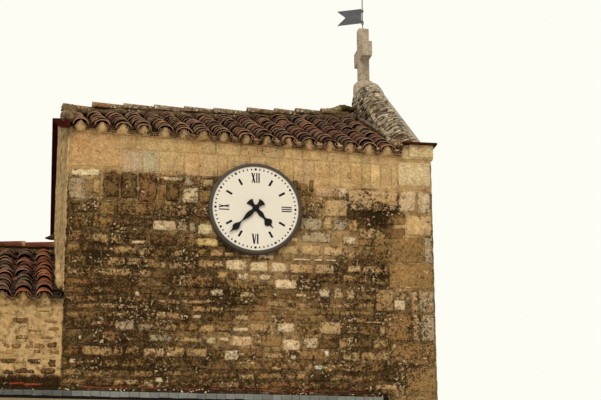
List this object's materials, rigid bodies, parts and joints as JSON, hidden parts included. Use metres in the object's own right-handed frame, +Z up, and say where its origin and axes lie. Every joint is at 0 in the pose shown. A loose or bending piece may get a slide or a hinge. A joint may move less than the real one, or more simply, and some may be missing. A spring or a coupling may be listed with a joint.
{
  "type": "small stone church with clock bay",
  "caption": "Small stone church: a raised bay with a wall clock, tiled gable roof, gable cross and weather vane, and a lower tiled nave beside it.",
  "frame": {"origin": "on the ground in the face of the clock wall, straight below the clock's centre", "axes": "+X to the right along the clock wall, +Y back into the building, +Z up"},
  "size_m": [10.266, 4.803, 9.6857],
  "materials": {
    "weathered_wall": "coursed stone, black weathering",
    "rubble_wall": "rubble with lime mortar",
    "dressed_stone": "pale dressed stone",
    "lichen_stone": "grey lichened stone",
    "roof_tile": "weathered clay tile",
    "verge_tile": "dark red clay tile",
    "slate": "grey slate",
    "clock_case": "dark grey-brown paint",
    "clock_dial": "off-white enamel",
    "clock_hands": "black paint",
    "vane_plate": "slate grey paint",
    "iron": "weathered iron",
    "door_wood": "weathered oak",
    "window_glass": "old window glass",
    "floor_stone": "worn flagstone"
  },
  "bodies": {
    "church": {"clock_wall": "weathered_wall", "bay_back_wall": "weathered_wall", "bay_side_wall": "dressed_stone", "gable_wall": "weathered_wall", "nave_front_wall": "rubble_wall", "nave_back_wall": "rubble_wall", "nave_end_wall": "rubble_wall", "bay_roof_front": "roof_tile", "bay_roof_back": "roof_tile", "bay_verge": "verge_tile", "bay_ridge_tiles": "roof_tile", "nave_roof_front": "roof_tile", "nave_roof_back": "roof_tile", "nave_verge": "verge_tile", "nave_ridge_tiles": "roof_tile", "bay_eaves_course_front": "dressed_stone", "bay_eaves_course_back": "dressed_stone", "kneeler_front": "dressed_stone", "kneeler_back": "dressed_stone", "kneeler_tile_front": "verge_tile", "kneeler_tile_back": "verge_tile", "coping_foot_front": "lichen_stone", "coping_foot_back": "lichen_stone", "coping_front": "lichen_stone", "coping_back": "lichen_stone", "saddle_stone": "lichen_stone", "gable_cross": "lichen_stone", "vane_rod": "iron", "clock_case": "clock_case", "clock_dial": "clock_dial", "clock_motion_plate": "iron", "ledge": "dressed_stone", "ledge_capping": "slate", "nave_window_glass": "window_glass", "nave_window_surround_front": "dressed_stone", "nave_window_surround_back": "dressed_stone", "door_surround": "dressed_stone", "door_leaf": "door_wood", "door_straps": "iron", "door_threshold": "dressed_stone", "floor": "floor_stone"},
    "minute_hand": {"minute_hand": "clock_hands"},
    "hour_hand": {"hour_hand": "clock_hands"},
    "weather_vane": {"weather_vane": "vane_plate"}
  },
  "joints": [
    {"name": "minute_hand_turn", "type": "hinge", "parent": "church", "child": "minute_hand", "pos_m": [0, 0, 5.981], "axis": [0, 1, 0], "continuous": true},
    {"name": "hour_hand_turn", "type": "hinge", "parent": "church", "child": "hour_hand", "pos_m": [0, 0, 5.981], "axis": [0, 1, 0], "continuous": true},
    {"name": "weather_vane_turn", "type": "hinge", "parent": "church", "child": "weather_vane", "pos_m": [1.715, 2.3, 9.2], "axis": [0, 0, 1], "continuous": true}
  ],
  "couplings": [
    {"joint": "hour_hand_turn", "follows": "minute_hand_turn", "ratio": 0.083333}
  ]
}
